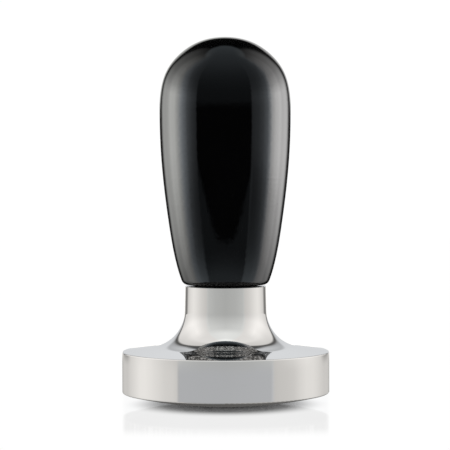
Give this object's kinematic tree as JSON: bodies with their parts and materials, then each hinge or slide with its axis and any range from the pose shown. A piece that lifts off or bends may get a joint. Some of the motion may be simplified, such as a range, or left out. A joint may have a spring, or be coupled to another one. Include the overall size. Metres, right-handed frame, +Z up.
{
  "type": "espresso tamper",
  "caption": "Espresso tamper: polished steel disc and neck with a convex sole, gloss black pear-shaped handle that unscrews from a threaded stud.",
  "frame": {"origin": "lowest point of the convex sole, on the tool's axis", "axes": "+Z up the axis, from the sole to the top of the handle; the tool is turned about Z, so +X and +Y are free"},
  "size_m": [0.058, 0.058, 0.1028],
  "materials": {
    "polished_steel": "mirror polished stainless steel",
    "plain_steel": "as-rolled stainless set screw",
    "washer_rubber": "matt black nitrile",
    "insert_brass": "turned and knurled brass",
    "handle_black": "high-gloss black moulded resin"
  },
  "bodies": {
    "base": {"base": "polished_steel", "threaded_stud": "plain_steel"},
    "washer": {"joint_washer": "washer_rubber"},
    "handle": {"handle": "handle_black", "threaded_insert": "insert_brass"}
  },
  "joints": [
    {"name": "handle_rise", "type": "slide", "parent": "base", "child": "washer", "axis": [0, 0, 1], "range_m": [0, 0.015]},
    {"name": "handle_turn", "type": "hinge", "parent": "washer", "child": "handle", "pos_m": [0, 0, 0.0342], "axis": [0, 0, 1], "range_deg": [0, 3600]}
  ],
  "couplings": [
    {"joint": "handle_rise", "follows": "handle_turn", "m_per_rad": 0.00023873}
  ]
}
